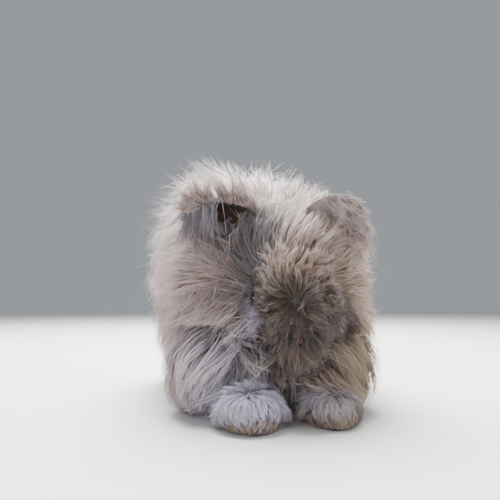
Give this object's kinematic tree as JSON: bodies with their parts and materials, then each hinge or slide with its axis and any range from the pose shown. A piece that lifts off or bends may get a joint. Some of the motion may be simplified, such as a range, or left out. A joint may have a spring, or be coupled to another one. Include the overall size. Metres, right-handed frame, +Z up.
{
  "type": "angora rabbit",
  "caption": "Still, life-size angora rabbit crouching with its head low over its forepaws, in long soft wool with tufted, outspread ears.",
  "frame": {"origin": "centre of the whole box at the floor, under the belly", "axes": "+Z up; the rabbit faces -Y, so +Y runs from its nose to its tail; its own left side is +X"},
  "size_m": [0.2682, 0.4086, 0.2735],
  "materials": {
    "face_wool": "short to long sepia-grey wool, darker round the muzzle",
    "neck_wool": "long lilac-fawn wool",
    "body_wool": "long silky wool, pale at the tips",
    "ear_wool": "blue-grey wool with silver tassels",
    "leg_wool": "long fawn-cream wool",
    "paw_wool": "pale lavender-white wool with tan toes",
    "tail_wool": "pale fluffy wool",
    "eye": "wet, nearly black brown"
  },
  "bodies": {
    "root": {"head": "face_wool", "eye_left": "eye", "eye_right": "eye", "ear_left": "ear_wool", "ear_right": "ear_wool", "neck": "neck_wool", "torso": "body_wool", "foreleg_left": "leg_wool", "foreleg_right": "leg_wool", "forepaw_left": "paw_wool", "forepaw_right": "paw_wool", "hindleg_left": "leg_wool", "hindleg_right": "leg_wool", "hindfoot_left": "paw_wool", "hindfoot_right": "paw_wool", "tail": "tail_wool"}
  },
  "joints": []
}
